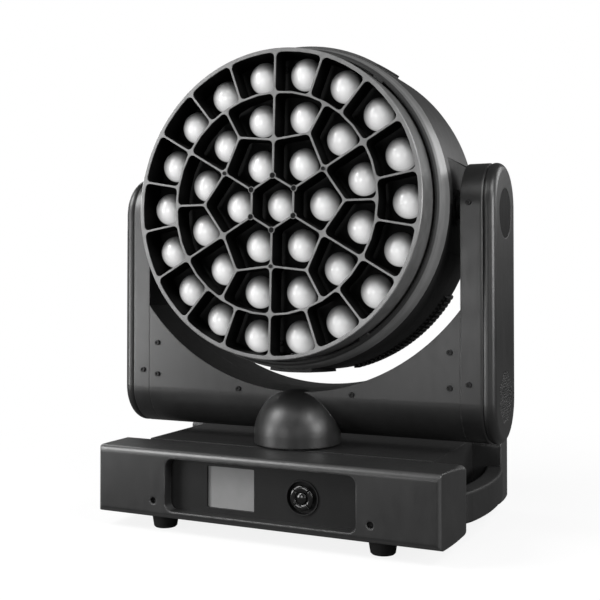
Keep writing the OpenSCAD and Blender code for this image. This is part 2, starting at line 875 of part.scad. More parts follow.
// Honeycomb that keeps stray light in, in one piece with its deep rim
module front_grid() {
    color("#56585b") on_head() {
        difference() {
            translate([0, 0, grid_back]) linear_extrude(grid_depth) difference() {
                circle(grid_r - 1, $fn = 96);
                cells();
            }
            for (a = grid_screw_angles) rotate(a) translate([grid_screw_r, 0, grid_front - 2])
                cylinder(r = 1.2, h = 4);
            for (k = [0:5]) rotate(30 + 60 * k) translate([hex_r, 0, grid_front - 5])
                cylinder(r = 1.5, h = 6);
        }
        rotate_extrude($fn = 96) polygon([
            [grid_r - grid_rim, shelf_top], [grid_r, shelf_top], [grid_r, grid_front - 1],
            [grid_r - 1, grid_front], [grid_r - grid_rim, grid_front]
        ]);
    }
}

// Bright front ring of the housing, with the shelf for the grid
module head_front_ring() {
    color("#77797c") on_head() rotate_extrude($fn = 96) {
        polygon([
            [ring_r, ring_back], [ring_out, ring_back], [ring_out - 2.5, ring_lip - 13],
            [ring_out - 3.5, ring_lip - 7], [ring_out - 5.5, ring_lip - 2.5], [ring_out - 8, ring_lip],
            [ring_r, ring_lip]
        ]);
        polygon([
            [grid_r - grid_rim + 1, shelf_top - shelf_t], [ring_r + 1, shelf_top - shelf_t],
            [ring_r + 1, shelf_top], [grid_r - grid_rim + 1, shelf_top]
        ]);
    }
    // latches that hold the grid
    color("#77797c") on_head() for (a = latch_angles) rotate(a)
        translate([grid_r + gap, -latch_w / 2, shelf_top - 1])
            cube([ring_r - grid_r + 1, latch_w, ring_lip - shelf_top + 3]);
}

// Profile of the housing behind the ring, from near the axis out, moved out by e
module housing_profile(front, inside = 0, e = 0) {
    polygon([
        [inside, front], [ring_out + e, front], [ring_out + e, ring_back], [head_r - 1.5 + e, 24],
        [head_r - 0.5 + e, -10], [head_r + e, -44], [head_r - 1.5 + e, -56],
        [head_r - 6.5 + e, -72], [head_r - 18, -88], [rear_hole_r + 24, -98],
        [rear_hole_r + 10, cover_back], [inside, cover_back]
    ]);
}

// Housing shell as a full round
module housing_shell() {
    rotate_extrude($fn = 96) difference() {
        housing_profile(ring_back);
        offset(delta = -wall) housing_profile(ring_back + 2 * wall, -2 * wall);
        translate([0, cover_back - 1]) square([rear_hole_r, 2 * wall]);
    }
}

// Layer of the height of the pads on the outside of the housing
module raised_layer() {
    rotate_extrude($fn = 96) difference() {
        housing_profile(ring_back, 0, pad_rise);
        housing_profile(ring_back + 1, 0, -wall / 2);
    }
}

// Wedge from -a to a about the direction up, between two distances from the tilt axis
module wedge(a, h0, h1) {
    reach = 2 * head_r;
    translate([0, 0, h0]) linear_extrude(h1 - h0)
        polygon([[0, 0], [-reach * tan(a), reach], [reach * tan(a), reach]]);
}

// One half of the housing, with the ledge and the walls of the side recesses
module housing_half() {
    ledge_x = side_x - wall;
    reach = 2 * head_r;
    intersection() {
        housing_shell();
        union() {
            translate([-reach, side_half, -reach]) cube([2 * reach, reach, 2 * reach]);
            translate([-reach, 0, -reach]) cube([2 * reach, reach, reach + recess_back]);
            translate([-reach, 0, recess_front]) cube([2 * reach, reach, reach]);
        }
    }
    intersection() {
        left_and_right() {
            translate([ledge_x, side_half, recess_back])
                cube([reach, wall, recess_front - recess_back]);
            for (h = [recess_back - wall, recess_front])
                translate([ledge_x, 0, h]) cube([reach, side_half + wall, wall]);
        }
        rotate_extrude($fn = 96) housing_profile(ring_back);
    }
}

module head_upper_cover() {
    color(satin_black) on_head() {
        housing_half();
        intersection() {
            raised_layer();
            wedge(pad_half, rib_front, ring_back);
        }
    }
}

module at_ribs() {
    for (side = [-1, 1], a = [122:rib_step:165]) rotate(-side * a) children();
}

// Lower half, with a small pad and the ribbed vents
module head_lower_cover() {
    slot = 1.6;
    color(satin_black) on_head() difference() {
        union() {
            mirror([0, 1, 0]) housing_half();
            intersection() {
                raised_layer();
                union() {
                    mirror([0, 1, 0]) wedge(pad_half / 4, rib_front, ring_back);
                    at_ribs() translate([-rib_t / 2, head_r - 20, rib_back])
                        cube([rib_t, 2 * wall + 20, rib_front - rib_back]);
                }
            }
        }
        at_ribs() rotate(rib_step / 2) translate([-slot / 2, head_r - 20, rib_back + 6])
            cube([slot, 2 * wall + 20, rib_front - rib_back - 12]);
    }
}

// Cast plate with the hollow axle
module side_plate() {
    flange = 3;
    color(soft_black) on_head() difference() {
        union() {
            intersection() {
                translate([side_x - wall, -side_half, recess_back])
                    cube([wall, 2 * side_half, recess_front - recess_back]);
                rotate_extrude($fn = 96) housing_profile(ring_back, 0, -gap);
            }
            translate([side_x, 0, 0]) rotate([0, 90, 0]) cylinder(r = axle_r + 8, h = flange);
            translate([side_x, 0, 0]) rotate([0, 90, 0]) cylinder(r = axle_r, h = axle_end - side_x);
        }
        translate([side_x - 2 * wall, 0, 0]) rotate([0, 90, 0])
            cylinder(r = axle_r - 5, h = axle_end);
    }
}

module right_side_plate() { side_plate(); }
module left_side_plate() { mirror([1, 0, 0]) side_plate(); }

module tilt_pulley() {
    color(bare_metal) translate([-belt_in, 0, tilt_axis_z]) rotate([0, -90, 0])
        pulley(tilt_pulley_r, axle_r + running, belt_w);
}

// Finned heat sink that spans the side plates
module heat_sink() {
    pitch = 13;
    fin_t = 2.4;
    fins = 13;
    base_back = sink_front - sink_base_t;
    color(bare_metal) on_head() {
        translate([0, 0, base_back]) linear_extrude(sink_base_t) {
            circle(grid_r - 4);
            square([2 * (side_x - wall), 90], center = true);
        }
        intersection() {
            for (i = [-fins:fins]) translate([i * pitch - fin_t / 2, -grid_r, fin_back])
                cube([fin_t, 2 * grid_r, base_back - fin_back + 1]);
            translate([0, 0, fin_back - 1]) cylinder(r = grid_r - 12, h = 100);
        }
    }
}

module at_lenses() {
    for (ring = lens_rings)
        for (k = [0:ring[1] - 1])
            rotate(ring[2] + 360 / ring[1] * k) translate([ring[0], 0, 0]) children();
}

module led_board() {
    color(board_green) on_head() {
        translate([0, 0, sink_front]) cylinder(r = grid_r - 6, h = board_t);
        translate([0, 0, sink_front + board_t]) at_lenses() translate([-3.5, -3.5, 0])
            cube([7, 7, chip_h]);
    }
}

// Tapered light guides between the emitters and the lenses
module light_rods() {
    bottom = sink_front + board_t + chip_h + gap;
    top = carrier_front - carrier_t - zoom_travel - 5;
    color(clear_lens) on_head() translate([0, 0, bottom]) at_lenses()
        cylinder(r1 = 4.5, r2 = 8, h = top - bottom);
}

module zoom_axes() {
    for (s = [-1, 1]) translate([0, s * zoom_axis_y, 0]) children();
}

module zoom_motors() {
    bottom = sink_front + board_t;
    color(soft_black) on_head() zoom_axes() translate([0, 0, bottom])
        cylinder(r = zoom_motor_r, h = zoom_motor_top - bottom);
}

module zoom_screw() {
    bottom = zoom_motor_top + gap;
    translate([0, 0, bottom]) cylinder(r = zoom_screw_r, h = grid_back - 1 - bottom);
    translate([0, 0, bottom]) cylinder(r = zoom_screw_r + 2.5, h = 3);
}

module zoom_screw_top() {
    color(bare_metal) on_head() translate([0, zoom_axis_y, 0]) zoom_screw();
}

module zoom_screw_bottom() {
    color(bare_metal) on_head() translate([0, -zoom_axis_y, 0]) zoom_screw();
}

// Plate that carries the lenses and runs on the lead screws
module lens_carrier() {
    back = carrier_front - carrier_t;
    color("#0f0f10") on_head() difference() {
        union() {
            translate([0, 0, back]) cylinder(r = carrier_r, h = carrier_t);
            zoom_axes() translate([0, 0, back - 3]) cylinder(r = zoom_screw_r + 4, h = 4);
        }
        translate([0, 0, back - 1]) at_lenses() cylinder(r = lens_r - 5, h = carrier_t + 2);
        zoom_axes() translate([0, 0, back - 5]) cylinder(r = zoom_screw_r + running, h = 20);
    }
}

// Domed lenses on the carrier
module lens_array() {
    dome_r = (pow(lens_r, 2) + pow(lens_rise, 2)) / (2 * lens_rise);
    flange = lens_apex - lens_rise - carrier_front;
    color(clear_lens) on_head() translate([0, 0, carrier_front]) at_lenses() {
        cylinder(r = lens_r, h = flange);
        intersection() {
            translate([0, 0, flange + lens_rise - dome_r]) sphere(dome_r);
            translate([0, 0, flange - 0.5]) cylinder(r = lens_r, h = lens_rise + 1);
        }
    }
}

fan_back = fin_back - fan_depth;

module fan_places() {
    for (s = [-1, 1]) translate([s * fan_x, 0, fan_back]) children();
}

module fan_frames() {
    rotor_clear = fan_half - 2;
    color(soft_black) on_head() fan_places() {
        difference() {
            translate([0, 0, 0]) linear_extrude(fan_depth) rounded_rect(2 * fan_half, 2 * fan_half, 6);
            translate([0, 0, -1]) cylinder(r = rotor_clear, h = fan_depth + 2);
        }
        intersection() {
            union() {
                for (a = [0, 90]) rotate(a) translate([-2, -fan_half, 0]) cube([4, 2 * fan_half, 3]);
                cylinder(r = 15, h = 4);
            }
            cylinder(r = fan_half - 1, h = fan_depth);
        }
        cylinder(r = 3, h = 14);
    }
}

// Hub with seven pitched blades
module fan_rotor() {
    hub_r0 = 16;
    blades = 7;
    difference() {
        union() {
            cylinder(r = hub_r0, h = 18);
            intersection() {
                for (k = [0:blades - 1]) rotate(k * 360 / blades)
                    translate([0, 0, 9]) rotate([38, 0, 0]) translate([0, -12, -0.8])
                        cube([fan_half, 24, 1.6]);
                translate([0, 0, 0]) cylinder(r = fan_half - 4, h = 18);
            }
        }
        translate([0, 0, -1]) cylinder(r = 3 + running, h = 11);
    }
}

module fan_rotor_at(side) {
    color("#26272a") on_head() translate([side * fan_x, 0, fan_back + 4 + gap]) fan_rotor();
}

module fan_left() { fan_rotor_at(-1); }
module fan_right() { fan_rotor_at(1); }

// Rear cover with louvres over the fans
module head_rear_cover() {
    lap = 8;
    color(satin_black) on_head() difference() {
        union() {
            translate([0, 0, cover_back - wall]) cylinder(r = rear_hole_r + lap, h = wall);
            translate([0, 0, cover_back]) cylinder(r = rear_hole_r - gap, h = wall);
        }
        for (i = [-5:5]) for (s = [-1, 1])
            translate([s * fan_x, i * 15, cover_back]) linear_extrude(4 * wall, center = true)
                rounded_rect(100 - abs(i) * 5, 7, 3);
    }
}

module head_screws() {
    color("#101010") on_head() {
        for (a = grid_screw_angles) rotate(a) translate([grid_screw_r, 0, grid_front])
            scale(0.7) difference() {
                cylinder(r = screw_head_r, h = screw_head_h);
                translate([0, 0, 1]) cylinder(r = screw_r, h = 2, $fn = 6);
            }
        for (k = [0:7]) rotate(22.5 + 45 * k) translate([rear_hole_r + 3, 0, cover_back - wall])
            rotate([180, 0, 0]) difference() {
                cylinder(r = screw_head_r, h = screw_head_h);
                translate([0, 0, 1]) cylinder(r = screw_r, h = 2, $fn = 6);
            }
    }
}

base_chassis();
base_bottom_plate();
base_front_cover();
base_rear_cover();
control_panel();
display_screen();
keypad_ring();
key_up();
key_down();
key_left();
key_right();
key_enter();
left_handle();
right_handle();
rubber_feet();
base_screws();
connector_panel();
panel_sockets();
power_supply();
control_board();
pan_shaft();
pan_pulley();
yoke_frame();
yoke_front_cover();
yoke_rear_cover();
left_arm_shell();
right_arm_shell();
left_arm_cap();
right_arm_cap();
arm_badges();
yoke_screws();
pan_bearing();
pan_motor();
pan_pinion();
pan_belt();
tilt_motor();
tilt_pinion();
tilt_belt();
tilt_bearings();
front_grid();
head_front_ring();
head_upper_cover();
head_lower_cover();
left_side_plate();
right_side_plate();
tilt_pulley();
heat_sink();
led_board();
light_rods();
zoom_motors();
head_rear_cover();
fan_frames();
head_screws();
lens_carrier();
lens_array();
zoom_screw_top();
zoom_screw_bottom();
fan_left();
fan_right();
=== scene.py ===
"""Finish of a moving head light: its materials, small made pieces, studio light and camera."""

import json
import logging
import math
from dataclasses import dataclass
from enum import Enum
from typing import Callable, Iterable, Sequence

import bpy
from mathutils import Matrix, Vector


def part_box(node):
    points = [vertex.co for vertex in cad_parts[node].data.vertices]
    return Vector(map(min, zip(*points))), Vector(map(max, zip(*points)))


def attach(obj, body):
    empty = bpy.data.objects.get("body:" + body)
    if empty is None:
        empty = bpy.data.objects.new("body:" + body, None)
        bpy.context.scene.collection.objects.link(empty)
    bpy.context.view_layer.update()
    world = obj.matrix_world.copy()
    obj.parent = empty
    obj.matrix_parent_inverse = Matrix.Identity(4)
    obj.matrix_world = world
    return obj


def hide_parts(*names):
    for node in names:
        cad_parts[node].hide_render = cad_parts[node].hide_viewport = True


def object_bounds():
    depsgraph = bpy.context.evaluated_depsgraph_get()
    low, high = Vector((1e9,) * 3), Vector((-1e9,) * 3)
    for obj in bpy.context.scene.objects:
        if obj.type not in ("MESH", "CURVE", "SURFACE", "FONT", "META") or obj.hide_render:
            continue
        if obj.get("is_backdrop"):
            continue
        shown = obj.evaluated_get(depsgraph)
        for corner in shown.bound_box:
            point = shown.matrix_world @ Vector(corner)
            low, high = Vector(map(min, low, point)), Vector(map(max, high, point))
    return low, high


logging.basicConfig(level=logging.INFO, format="%(message)s")
LOG = logging.getLogger("moving_head_light")

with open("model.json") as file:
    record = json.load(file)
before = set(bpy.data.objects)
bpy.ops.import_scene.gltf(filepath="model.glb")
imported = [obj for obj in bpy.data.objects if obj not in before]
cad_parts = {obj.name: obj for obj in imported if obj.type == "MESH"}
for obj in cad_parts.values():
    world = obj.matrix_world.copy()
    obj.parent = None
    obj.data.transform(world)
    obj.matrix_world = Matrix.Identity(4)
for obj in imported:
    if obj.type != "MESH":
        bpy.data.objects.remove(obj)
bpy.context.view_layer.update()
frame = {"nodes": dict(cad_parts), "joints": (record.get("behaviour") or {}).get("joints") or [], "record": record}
MM = 0.001
FULL = 255
TILT_AXIS = tuple(next(j for j in frame["joints"] if j["name"] == "tilt")["pos_m"])
LEAN = math.radians(2.6)
Rgb = tuple[float, float, float]
Rgba = tuple[float, float, float, float]
Spot = tuple[float, float, float]
WHITE: Rgba = (1.0, 1.0, 1.0, 1.0)


# --------------------------------------------------------------------------- shader graphs


def grey(level: float, tint: Rgb = (1.0, 1.0, 1.0)) -> Rgba:
    """Turn a display level into linear colour.

    Args:
        level: Brightness from 0 to 255, as a display shows it.
        tint: Multiplier of each channel.

    Returns:
        Linear red, green, blue and an alpha of 1.
    """
    shown = level / FULL
    linear = shown / 12.92 if shown <= 0.04045 else ((shown + 0.055) / 1.055) ** 2.4
    return (linear * tint[0], linear * tint[1], linear * tint[2], 1.0)


class Signal:
    """One output socket of a shader graph, with Python's arithmetic."""

    def __init__(self, graph: "Graph", socket: bpy.types.NodeSocket | None) -> None:
        """Keep the graph and the socket."""
        self.graph = graph
        self.socket = socket

    def math(self, operation: str, *others: "Signal | float", clamp: bool = False) -> "Signal":
        """Add a Math node with this signal first.

        Args:
            operation: Name of the Math node's operation.
            others: The further operands.
            clamp: True keeps the result between 0 and 1.

        Returns:
            The node's result.
        """
        values = dict(enumerate((self, *others)))
        return self.graph.node("ShaderNodeMath", {"operation": operation, "use_clamp": clamp}, values)

    def __add__(self, other: "Signal | float") -> "Signal":
        """Sum."""
        return self.math("ADD", other)

    __radd__ = __add__

    def __sub__(self, other: "Signal | float") -> "Signal":
        """Difference."""
        return self.math("SUBTRACT", other)

    def __rsub__(self, other: float) -> "Signal":
        """Difference from a number."""
        return (self * -1.0) + other

    def __mul__(self, other: "Signal | float") -> "Signal":
        """Product."""
        return self.math("MULTIPLY", other)

    __rmul__ = __mul__

    def __truediv__(self, other: "Signal | float") -> "Signal":
        """Quotient."""
        return self.math("DIVIDE", other)

    def __pow__(self, other: float) -> "Signal":
        """Power."""
        return self.math("POWER", other)

    def between(self, low: float, high: float) -> "Signal":
        """Stretch low..high to 0..1 and clamp."""
        return ((self - low) / (high - low)).math("ADD", 0.0, clamp=True)


class Graph:
    """The node tree of one material or of the world."""

    def __init__(self, name: str, holder: bpy.types.ID | None = None) -> None:
        """Empty the tree of the holder, or of a new material.

        Args:
            name: The new material's name.
            holder: A world or material that has the tree, or None for a new material.
        """
        self.material = holder or bpy.data.materials.new(name)
        self.material.use_nodes = True
        self.tree = self.material.node_tree
        self.tree.nodes.clear()

    def node(self, kind: str, settings: dict | None = None, values: dict | None = None,
             output: int | str = 0) -> Signal:
        """Add one node.

        Args:
            kind: Blender's name of the node type.
            settings: Properties of the node; "stops" gives a colour ramp's positions and colours.
            values: A value or a signal for each socket, by name or number.
            output: The socket to hand back.

        Returns:
            The chosen output.
        """
        made = self.tree.nodes.new(kind)
        for key, value in (settings or {}).items():
            if key == "stops":
                ramp = made.color_ramp
                while len(ramp.elements) > 1:
                    ramp.elements.remove(ramp.elements[0])
                ramp.elements[0].position, ramp.elements[0].color = value[0]
                for place, colour in value[1:]:
                    ramp.elements.new(place).color = colour
            else:
                setattr(made, key, value)
        for key, value in (values or {}).items():
            if isinstance(value, Signal):
                self.tree.links.new(value.socket, made.inputs[key])
            else:
                made.inputs[key].default_value = value
        return Signal(self, made.outputs[output] if made.outputs else None)

    def place(self) -> Signal:
        """Object coordinates."""
        return self.node("ShaderNodeTexCoord", output="Object")

    def uv(self) -> Signal:
        """The piece's own UV map."""
        return self.node("ShaderNodeTexCoord", output="UV")

    def split(self, vector: Signal) -> tuple[Signal, Signal, Signal]:
        """Take a vector apart.

        Args:
            vector: Any vector.

        Returns:
            Its x, y and z.
        """
        made = self.node("ShaderNodeSeparateXYZ", None, {0: vector})
        outs = made.socket.node.outputs
        return Signal(self, outs[0]), Signal(self, outs[1]), Signal(self, outs[2])

    def head_place(self) -> tuple[Signal, Signal]:
        """Work out the place on the head at rest.

        Returns:
            Height in front of the tilt axis and distance from the head's middle, in millimetres.
        """
        x, y, z = self.split(self.place())
        s, c = math.sin(LEAN), math.cos(LEAN)
        back, lift = y - TILT_AXIS[1], z - TILT_AXIS[2]
        out = (lift * s - back * c) * 1000.0
        up = (back * s + lift * c) * 1000.0
        return out, (x * x * 1e6 + up * up) ** 0.5

    def noise(self, size: float, detail: float = 3.0, stretch: Sequence[float] = (1, 1, 1),
              vector: Signal | None = None) -> Signal:
        """Noise whose lumps are of a given size.

        Args:
            size: Size of a lump in millimetres.
            detail: Octaves.
            stretch: Scale of each axis before the noise.
            vector: Coordinates, or None for Object.

        Returns:
            The noise, about 0 to 1.
        """
        where = vector or self.place()
        if tuple(stretch) != (1, 1, 1):
            where = self.node("ShaderNodeMapping", None, {"Vector": where, "Scale": tuple(stretch)})
        return self.node("ShaderNodeTexNoise", None,
                         {"Vector": where, "Scale": 1 / (size * MM), "Detail": detail, "Roughness": 0.55})

    def blend(self, mask: Signal | float, first: Signal | Rgba, second: Signal | Rgba) -> Signal:
        """Mix two colours by a mask."""
        return self.node("ShaderNodeMix", {"data_type": "RGBA"}, {0: mask, 6: first, 7: second}, output=2)

    def patches(self, mask: Signal, level: float, spread: float, tint: Rgb = (1.0, 1.0, 1.0)) -> Signal:
        """Mottle a grey a little darker and lighter by a mask."""
        return self.blend(mask, grey(level * (1 - spread), tint), grey(level * (1 + spread), tint))

    def bump(self, height: Signal, strength: float, distance: float,
             normal: Signal | None = None) -> Signal:
        """Make relief from a height.

        Args:
            height: The height, about 0 to 1.
            strength: How strongly it shows.
            distance: Millimetres that a height of 1 stands out.
            normal: The normal to start from, or None for the surface's own.

        Returns:
            The new normal.
        """
        values = {"Height": height, "Strength": strength, "Distance": distance * MM}
        if normal is not None:
            values["Normal"] = normal
        return self.node("ShaderNodeBump", None, values)

    def rounded(self, radius: float) -> Signal:
        """Normal with the sharp edges rounded over, radius in millimetres."""
        return self.node("ShaderNodeBevel", {"samples": 4}, {"Radius": radius * MM})

    def face(self) -> Signal:
        """The normal of the surface itself."""
        return self.node("ShaderNodeNewGeometry", output="Normal")

    def edges(self, normal: Signal) -> Signal:
        """Find the edges that a rounded normal rounds over.

        Args:
            normal: The rounded normal.

        Returns:
            0 on flats, rising to 1 on edges.
        """
        pair = {0: normal, 1: self.face()}
        alike = self.node("ShaderNodeVectorMath", {"operation": "DOT_PRODUCT"}, pair, "Value")
        return (1 - alike).between(0.0, 0.25)

    def principled(self, values: dict) -> Signal:
        """Add one Principled shader with a value or a signal for each socket named."""
        return self.node("ShaderNodeBsdfPrincipled", None, values)

    def surface(self, values: dict) -> bpy.types.Material:
        """Close the graph with one Principled shader.

        Args:
            values: A value or a signal for each of its sockets.

        Returns:
            The finished material.
        """
        return self.close(self.principled(values))

    def close(self, shader: Signal, kind: str = "ShaderNodeOutputMaterial") -> bpy.types.ID:
        """Wire a shader to the output and hand back the material or the world."""
        self.node(kind, None, {"Surface": shader})
        return self.material


# --------------------------------------------------------------------------- finishes


@dataclass(frozen=True)
class Finish:
    """A moulded or painted surface with grain, mottling and lighter rubbed edges, partly wear and partly a painted
    edge highlight.

    Levels are display levels from 0 to 255. Grain, relief, round_over and the lumps are millimetres.
    """

    name: str
    level: float
    rough: float = 0.45
    tint: Rgb = (1.0, 1.0, 1.0)
    metal: float = 0.0
    specular: float = 0.4
    grain: float = 0.9
    relief: float = 0.05
    mottle: float = 0.10
    rub_and_sheen: float = 0.25
    round_over: float = 0.8
    coat: float = 0.0
    broad_lumps: float = 55.0
    smear_lumps: float = 9.0
    wear_and_sheen_gain: float = 1.9
    wear_and_sheen_lift: float = 26.0
    wear_and_sheen_top: float = 235.0

    def make(self) -> bpy.types.Material:
        """Build the material.

        Returns:
            The material.
        """
        g = Graph(self.name)
        fine = g.noise(self.grain, 2.0)
        broad = g.noise(self.broad_lumps, 3.0)
        smear = g.noise(self.smear_lumps, 4.0, (1, 1, 0.35))
        normal = g.rounded(self.round_over)
        edge = g.edges(normal)
        # Lighter edge colour: partly rubbed wear, partly a painted highlight along the edges.
        wear_and_sheen = grey(min(self.level * self.wear_and_sheen_gain + self.wear_and_sheen_lift, self.wear_and_sheen_top), self.tint)
        patch = (broad * 0.7 + smear * 0.3).between(0.34, 0.66)
        colour = g.patches(patch, self.level, self.mottle, self.tint)
        colour = g.blend(edge * self.rub_and_sheen * smear.between(0.3, 0.6), colour, wear_and_sheen)
        rough = (fine - 0.5) * 0.10 + (smear - 0.5) * 0.16 + self.rough
        colour, rough = self.place_tone(g, colour, rough)
        return g.surface({
            "Base Color": colour,
            "Roughness": rough.math("MAXIMUM", 0.05),
            "Metallic": self.metal,
            "Specular IOR Level": self.specular,
            "Coat Weight": self.coat,
            "Coat Roughness": 0.12,
            "Normal": g.bump(fine, 0.55, self.relief, normal),
        })

    def place_tone(self, g: Graph, colour: Signal, rough: Signal) -> tuple[Signal, Signal]:
        """Change colour and roughness with the place on the piece; the plain finish changes nothing.

        Args:
            g: The graph.
            colour: The colour so far.
            rough: The roughness so far.

        Returns:
            The colour and the roughness.
        """
        return colour, rough


@dataclass(frozen=True)
class ShellPlastic(Finish):
    """Satin shell of the base, its rounded edges lightened by a painted highlight."""

    painted_highlight_share: float = 0.55
    painted_highlight_gain: float = 2.1

    def place_tone(self, g: Graph, colour: Signal, rough: Signal) -> tuple[Signal, Signal]:
        """Lighten the faces that look along none of the three axes: a painted highlight on the rounded edges.

        Args:
            g: The graph.
            colour: The colour so far.
            rough: The roughness so far.

        Returns:
            The colour and the roughness.
        """
        across, along, up = (part.math("ABSOLUTE") for part in g.split(g.face()))
        slant = 1 - across.math("MAXIMUM", along).math("MAXIMUM", up).between(0.86, 0.985)
        # Painted highlight: the rounded faces between the flats blend toward a lighter grey.
        painted_highlight_grey = grey(self.level * self.painted_highlight_gain)
        return g.blend(slant * self.painted_highlight_share, colour, painted_highlight_grey), rough - slant * 0.05


@dataclass(frozen=True)
class YokePlastic(Finish):
    """Cover of the yoke, with a duller dome over the pan motor; lengths in millimetres."""

    dome_out: float = 41.0
    dome_r: float = 55.0
    dome_top: float = 170.0
    dome_level: float = 26.0

    def place_tone(self, g: Graph, colour: Signal, rough: Signal) -> tuple[Signal, Signal]:
        """Darken and dull the dome in the middle of the cover.

        Args:
            g: The graph.
            colour: The colour so far.
            rough: The roughness so far.

        Returns:
            The colour and the roughness.
        """
        x, y, z = g.split(g.place())
        out = y + self.dome_out * MM
        far = (x * x + out * out) ** 0.5
        beside = far.between(self.dome_r * MM, (self.dome_r + 1.5) * MM)
        above = z.between(self.dome_top * MM, (self.dome_top + 3) * MM)
        dome = (1 - beside) * (1 - above)
        return g.blend(dome, colour, grey(self.dome_level)), rough + dome * 0.06


@dataclass(frozen=True)
class RingPlastic(Finish):
    """Front ring of the head, its inner step painted black as the shade in the gap and its front edge painted
    lighter as a highlight; lengths in millimetres.
    """

    lip: float = 198.0
    brow_low: float = 60.0
    brow_high: float = 70.0
    step_shade_level: float = 3.0

    def place_tone(self, g: Graph, colour: Signal, rough: Signal) -> tuple[Signal, Signal]:
        """Paint shade black on the step inside the lip and a lighter highlight on the edge outside it.

        Args:
            g: The graph.
            colour: The colour so far.
            rough: The roughness so far.

        Returns:
            The colour and the roughness.
        """
        out, far = g.head_place()
        # Painted shade: the step inside the lip, in the gap by the grid, turns near black.
        step = 1 - far.between(self.lip - 0.5, self.lip + 0.5)
        # Painted highlight: a lighter band on the ring's front edge.
        painted_brow_highlight = far.between(self.lip + 1.5, self.lip + 3.0) * out.between(self.brow_low, self.brow_high)
        colour = g.blend(painted_brow_highlight * 0.4, colour, grey(self.level * 1.6))
        return g.blend(step, colour, grey(self.step_shade_level)), rough + step * 0.4


@dataclass(frozen=True)
class TurnedMetal(Finish):
    """Bare metal with tool lines along one axis."""

    lines: tuple[float, float, float] = (0.03, 1.0, 1.0)

    def make(self) -> bpy.types.Material:
        """Build the material.

        Returns:
            The material.
        """
        g = Graph(self.name)
        brush = g.noise(0.5, 2.0, self.lines)
        broad = g.noise(30.0, 3.0)
        normal = g.rounded(0.4)
        colour = g.blend((brush * 0.5 + broad * 0.5).between(0.3, 0.7),
                         grey(self.level * 0.86, self.tint), grey(self.level * 1.06, self.tint))
        return g.surface({
            "Base Color": colour,
            "Roughness": (brush - 0.5) * 0.2 + self.rough,
            "Metallic": 1.0,
            "Normal": g.bump(brush, 0.4, 0.03, normal),
        })


@dataclass(frozen=True)
class GridPlastic(Finish):
    """Black honeycomb, its satin front edge and its skirt painted light grey as a highlight, its walls
    light-trapping black; lengths in millimetres.
    """

    front: float = 114.0
    skirt_r: float = 189.2
    wall_level: float = 5.0
    skirt_highlight_level: float = 92.0

    def make(self) -> bpy.types.Material:
        """Build the material.

        Returns:
            The material.
        """
        g = Graph(self.name)
        out, far = g.head_place()
        fine = g.noise(self.grain, 2.0)
        smear = g.noise(14.0, 4.0)
        face = out.between(self.front - 1.4, self.front - 0.4)
        skirt = far.between(self.skirt_r - 0.4, self.skirt_r + 0.2)
        patch = smear.between(0.35, 0.65)
        # Painted highlight: the front edge and the skirt of the black grid are light grey.
        satin = g.patches(patch, self.level, 0.07)
        side = g.patches(patch, self.skirt_highlight_level, 0.08)
        normal = g.bump(fine, 0.4, self.relief, g.rounded(self.round_over))
        shown = g.principled({
            "Base Color": g.blend(skirt * (1 - face), satin, side),
            "Roughness": (fine - 0.5) * 0.1 + self.rough,
            "Specular IOR Level": self.specular,
            "Normal": normal,
        })
        trap = g.principled({
            "Base Color": g.patches(patch, self.wall_level, 0.3),
            "Roughness": (fine - 0.5) * 0.1 + 0.7,
            "Specular IOR Level": 0.06,
            "Normal": normal,
        })
        seen = face.math("MAXIMUM", skirt)
        return g.close(g.node("ShaderNodeMixShader", None, {0: seen, 1: trap, 2: shown}))


